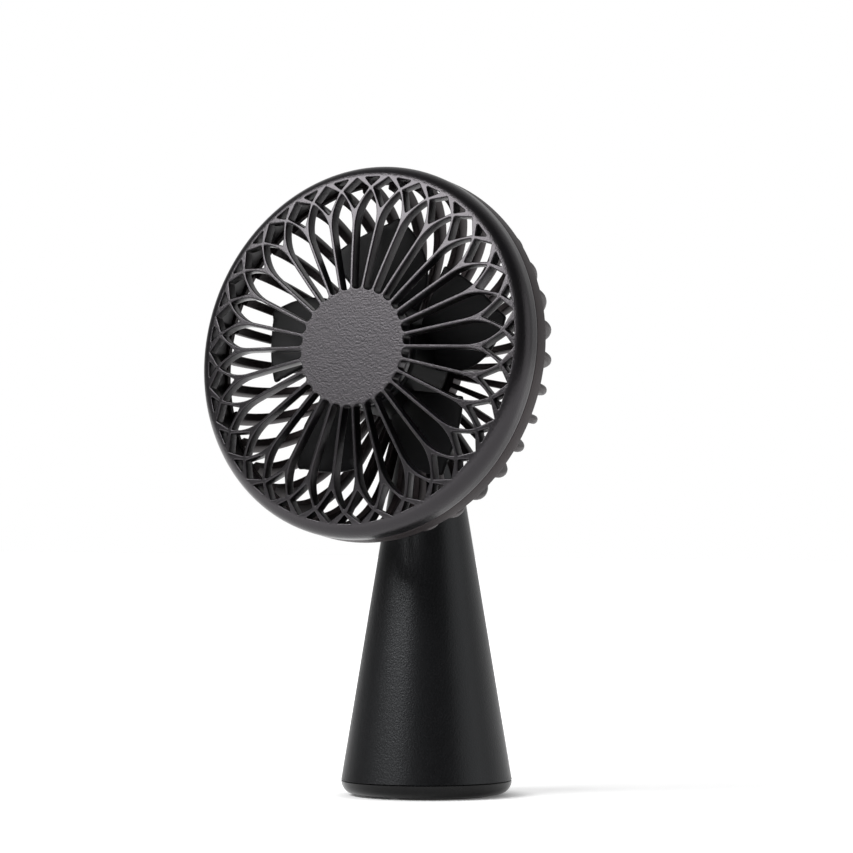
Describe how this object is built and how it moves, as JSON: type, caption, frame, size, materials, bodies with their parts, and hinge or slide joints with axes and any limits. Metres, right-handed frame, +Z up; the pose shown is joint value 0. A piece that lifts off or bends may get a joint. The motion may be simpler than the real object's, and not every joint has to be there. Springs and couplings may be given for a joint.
{
  "type": "desk fan",
  "caption": "Small black battery desk fan: round head with a lattice front grille and finned back, tilted up on a straight cone stand, with a push button and charging port at the back.",
  "frame": {"origin": "centre of the foot pad's underside, on the desk, on the axis of the cone stand", "axes": "+Z up along the axis of the cone; the head faces -Y, tilted up by 9.13 degrees; +X to the right of someone who looks along +Y"},
  "size_m": [0.106, 0.0704, 0.1786],
  "materials": {
    "cover_black": "satin, fine moulded texture on the hub disc",
    "housing_black": "matt, slightly warm",
    "blade_black": "smooth",
    "cone_black": "satin, very fine grain",
    "gloss_black": "smooth",
    "inner_plastic": "as moulded",
    "steel": "plated",
    "magnet": "bonded magnet, dull",
    "brass": "turned",
    "lamination": "stamped steel",
    "copper_wire": "enamelled copper wire",
    "nickel": "nickel strip",
    "board": "solder mask",
    "chip": "moulded",
    "lead_red": "silicone insulation",
    "lead_white": "silicone insulation",
    "lens": "translucent",
    "cell_wrap": "shrink wrap",
    "pad_rubber": "matt"
  },
  "bodies": {
    "fan": {"front_cover": "cover_black", "rear_housing": "housing_black", "front_bearing": "steel", "rear_bearing": "steel", "bearing_tube": "brass", "stator_core": "lamination", "stator_coils": "copper_wire", "motor_board": "board", "motor_base": "inner_plastic", "motor_screws": "steel", "neck_screws": "steel", "motor_leads": "lead_red", "cone_shell": "cone_black", "tact_switch": "inner_plastic", "button_board": "board", "button_leads": "lead_white", "led_lens": "lens", "inner_frame": "inner_plastic", "frame_screws": "steel", "battery_cell": "cell_wrap", "battery_tabs": "nickel", "battery_leads": "lead_red", "main_board": "board", "board_chips": "chip", "usb_socket": "steel", "usb_tongue": "inner_plastic", "ballast_plate": "lamination", "base_cap": "gloss_black", "base_screws": "steel", "foot_pad": "pad_rubber"},
    "rotor": {"impeller": "blade_black", "rotor_cup": "steel", "magnet_ring": "magnet", "motor_shaft": "steel", "shaft_clip": "steel"},
    "button": {"power_button": "gloss_black", "switch_plunger": "inner_plastic"}
  },
  "joints": [
    {"name": "rotor_spin", "type": "hinge", "parent": "fan", "child": "rotor", "pos_m": [0, -0.02325, 0.12448], "axis": [0, -0.9873, 0.1587], "continuous": true},
    {"name": "button_press", "type": "slide", "parent": "fan", "child": "button", "axis": [0, -0.9865, -0.1638], "range_m": [0, 0.0004], "stiffness_N_per_m": 3000}
  ]
}
